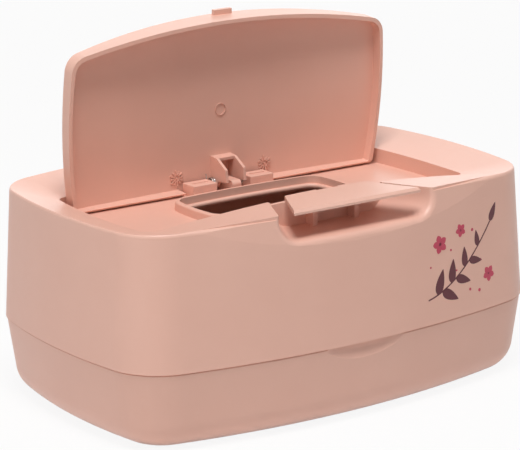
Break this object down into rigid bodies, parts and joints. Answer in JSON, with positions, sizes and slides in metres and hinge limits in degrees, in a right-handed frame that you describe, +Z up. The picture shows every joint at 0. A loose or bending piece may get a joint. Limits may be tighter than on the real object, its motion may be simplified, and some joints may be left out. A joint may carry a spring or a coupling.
{
  "type": "baby wipes box",
  "caption": "Free-standing baby wipes box: tub with lift-off cover, sunken tray with a collared slot, sprung flap lid and a push button on the front lip.",
  "frame": {"origin": "on the table, under the middle of the footprint", "axes": "+X along the length, -Y towards the front with the button, +Z up"},
  "size_m": [0.24, 0.1628, 0.1779],
  "materials": {
    "pink_plastic": "moulded, fine satin grain",
    "spring_steel": "drawn wire and ground pin, bright"
  },
  "bodies": {
    "tub": {"tub": "pink_plastic"},
    "cover": {"cover": "pink_plastic", "hinge_cap_left": "pink_plastic", "hinge_cap_right": "pink_plastic", "hinge_pin": "spring_steel", "lid_spring_left": "spring_steel", "lid_spring_right": "spring_steel", "button_pivot_rod": "spring_steel", "button_spring": "spring_steel"},
    "lid": {"lid": "pink_plastic"},
    "button": {"push_button": "pink_plastic"}
  },
  "joints": [
    {"name": "cover_lift", "type": "slide", "parent": "tub", "child": "cover", "axis": [0, 0, 1], "range_m": [0, 0.06]},
    {"name": "lid_hinge", "type": "hinge", "parent": "cover", "child": "lid", "pos_m": [0, 0.0343, 0.0922], "axis": [1, 0, 0], "range_deg": [0, 85], "stiffness_Nm_per_rad": 0.012, "springref_deg": -85.94, "deforming": ["lid_spring_left", "lid_spring_right"]},
    {"name": "button_press", "type": "hinge", "parent": "cover", "child": "button", "pos_m": [0, -0.056, 0.1007], "axis": [1, 0, 0], "range_deg": [0, 10], "stiffness_Nm_per_rad": 0.06, "springref_deg": -8.59, "deforming": ["button_spring"]}
  ]
}
